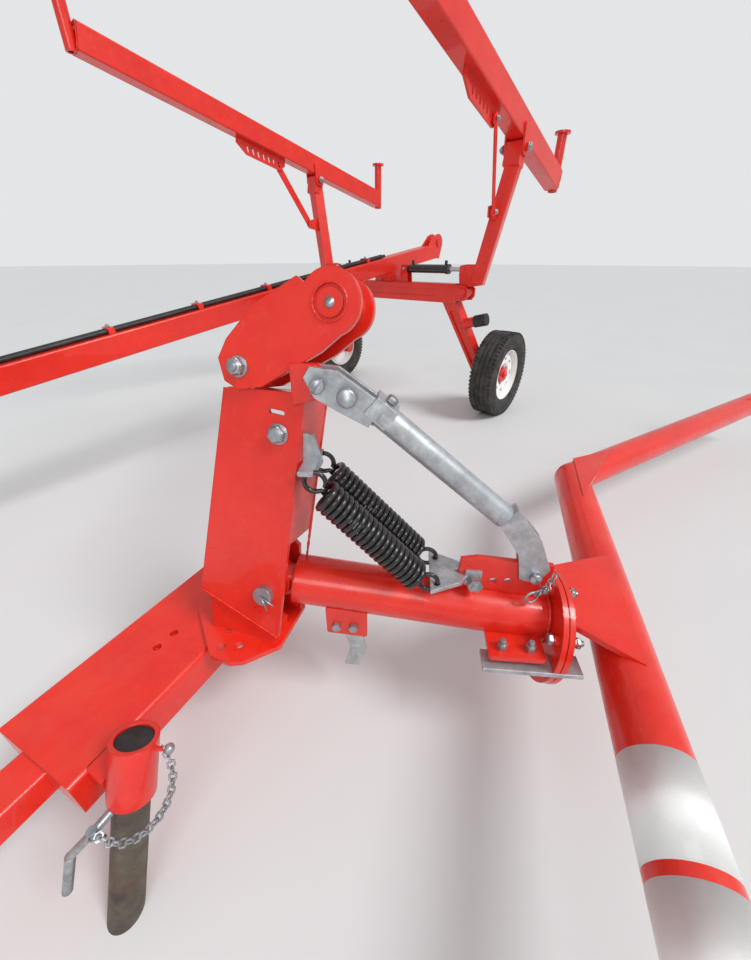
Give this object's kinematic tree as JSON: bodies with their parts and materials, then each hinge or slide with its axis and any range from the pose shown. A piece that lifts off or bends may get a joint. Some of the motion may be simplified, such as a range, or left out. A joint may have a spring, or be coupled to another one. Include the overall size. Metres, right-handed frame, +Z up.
{
  "type": "trailed hay tedder",
  "caption": "Two-wheeled trailed hay tedder with a long beam, two raised folding booms and a low side frame hung by springs and a strut.",
  "frame": {"origin": "middle of the tow eye bore", "axes": "+X forward, the way it is towed, +Y to the left wheel, +Z up along the tow eye bore"},
  "size_m": [4.7486, 3.4565, 2.2668],
  "materials": {
    "red_paint": "gloss paint",
    "tyre": "moulded tread",
    "white_rim": "gloss paint",
    "galvanised": "zinc coated",
    "chromed_rod": "polished",
    "spring_steel": "black gloss",
    "black_paint": "black gloss",
    "black_plastic": "matt",
    "hose_rubber": "matt",
    "bare_steel": "dull, weathered"
  },
  "bodies": {
    "chassis": {"cross_beam": "red_paint", "main_beam": "red_paint", "rear_head": "red_paint", "tow_eye": "red_paint", "front_jack_sleeve": "red_paint", "beam_hoses": "hose_rubber", "hose_clips": "red_paint", "left_axle_leg": "red_paint", "right_axle_leg": "red_paint", "left_leg_cap": "black_plastic", "right_leg_cap": "black_plastic", "mast_channel": "red_paint", "mast_head": "red_paint", "mast_bolts": "galvanised", "arm_pin": "galvanised", "push_bar": "red_paint", "mast_seat": "red_paint", "leg_sleeve": "red_paint", "leg_pin_handle": "galvanised", "leg_chain": "galvanised", "strut_ear": "red_paint", "spring_hanger": "galvanised", "outrigger": "red_paint", "near_spring": "spring_steel", "far_spring": "spring_steel", "strut_tube": "galvanised", "strut_jaw": "galvanised", "side_arm": "red_paint", "arm_flanges": "red_paint", "side_tube": "red_paint", "rear_arm": "red_paint", "side_gussets": "red_paint", "side_sockets": "red_paint", "arm_plates": "red_paint", "flat_bar": "galvanised", "bent_hook": "galvanised", "arm_bolts": "galvanised", "spring_plate": "galvanised"},
    "parking_leg": {"parking_leg": "bare_steel", "leg_top_cap": "black_plastic"},
    "front_jack": {"front_jack_leg": "red_paint"},
    "left_wheel": {"left_tyre": "tyre", "left_rim": "white_rim", "left_hub": "red_paint"},
    "left_boom": {"left_fold_mast": "red_paint", "left_bar": "red_paint", "left_stay_link": "red_paint", "left_sockets": "red_paint"},
    "left_cylinder": {"left_cylinder_barrel": "black_paint"},
    "left_rod": {"left_cylinder_rod": "chromed_rod"},
    "right_wheel": {"right_tyre": "tyre", "right_rim": "white_rim", "right_hub": "red_paint"},
    "right_boom": {"right_fold_mast": "red_paint", "right_bar": "red_paint", "right_stay_link": "red_paint", "right_sockets": "red_paint"},
    "right_cylinder": {"right_cylinder_barrel": "black_paint"},
    "right_rod": {"right_cylinder_rod": "chromed_rod"}
  },
  "joints": [
    {"name": "left_wheel_spin", "type": "hinge", "parent": "chassis", "child": "left_wheel", "pos_m": [-4.065, 0.85, -0.1552], "axis": [0, 1, 0], "continuous": true},
    {"name": "left_fold", "type": "hinge", "parent": "chassis", "child": "left_boom", "pos_m": [-3.865, 0.62, 0.3928], "axis": [-1, 0, 0], "range_deg": [0, 75]},
    {"name": "left_cylinder_turn", "type": "hinge", "parent": "chassis", "child": "left_cylinder", "pos_m": [-3.865, 0.118, 0.5298], "axis": [-1, 0, 0], "range_deg": [0, 7.59]},
    {"name": "left_rod_slide", "type": "slide", "parent": "left_cylinder", "child": "left_rod", "axis": [0, 1, 0], "range_m": [0, 0.1556]},
    {"name": "right_wheel_spin", "type": "hinge", "parent": "chassis", "child": "right_wheel", "pos_m": [-4.065, -0.85, -0.1552], "axis": [0, 1, 0], "continuous": true},
    {"name": "right_fold", "type": "hinge", "parent": "chassis", "child": "right_boom", "pos_m": [-3.865, -0.62, 0.3928], "axis": [1, 0, 0], "range_deg": [0, 75]},
    {"name": "right_cylinder_turn", "type": "hinge", "parent": "chassis", "child": "right_cylinder", "pos_m": [-3.865, -0.118, 0.5298], "axis": [1, 0, 0], "range_deg": [0, 7.59]},
    {"name": "right_rod_slide", "type": "slide", "parent": "right_cylinder", "child": "right_rod", "axis": [0, -1, 0], "range_m": [0, 0.1556]},
    {"name": "parking_slide", "type": "slide", "parent": "chassis", "child": "parking_leg", "axis": [-0.3564, -0.1235, 0.9261], "range_m": [0, 0.2]},
    {"name": "jack_slide", "type": "slide", "parent": "chassis", "child": "front_jack", "axis": [0, 0, 1], "range_m": [0, 0.2]}
  ],
  "couplings": [
    {"joint": "left_cylinder_turn", "follows": "left_fold", "ratio": 0.099276},
    {"joint": "left_rod_slide", "follows": "left_fold", "m_per_rad": 0.11651},
    {"joint": "right_cylinder_turn", "follows": "right_fold", "ratio": 0.099276},
    {"joint": "right_rod_slide", "follows": "right_fold", "m_per_rad": 0.11651}
  ]
}
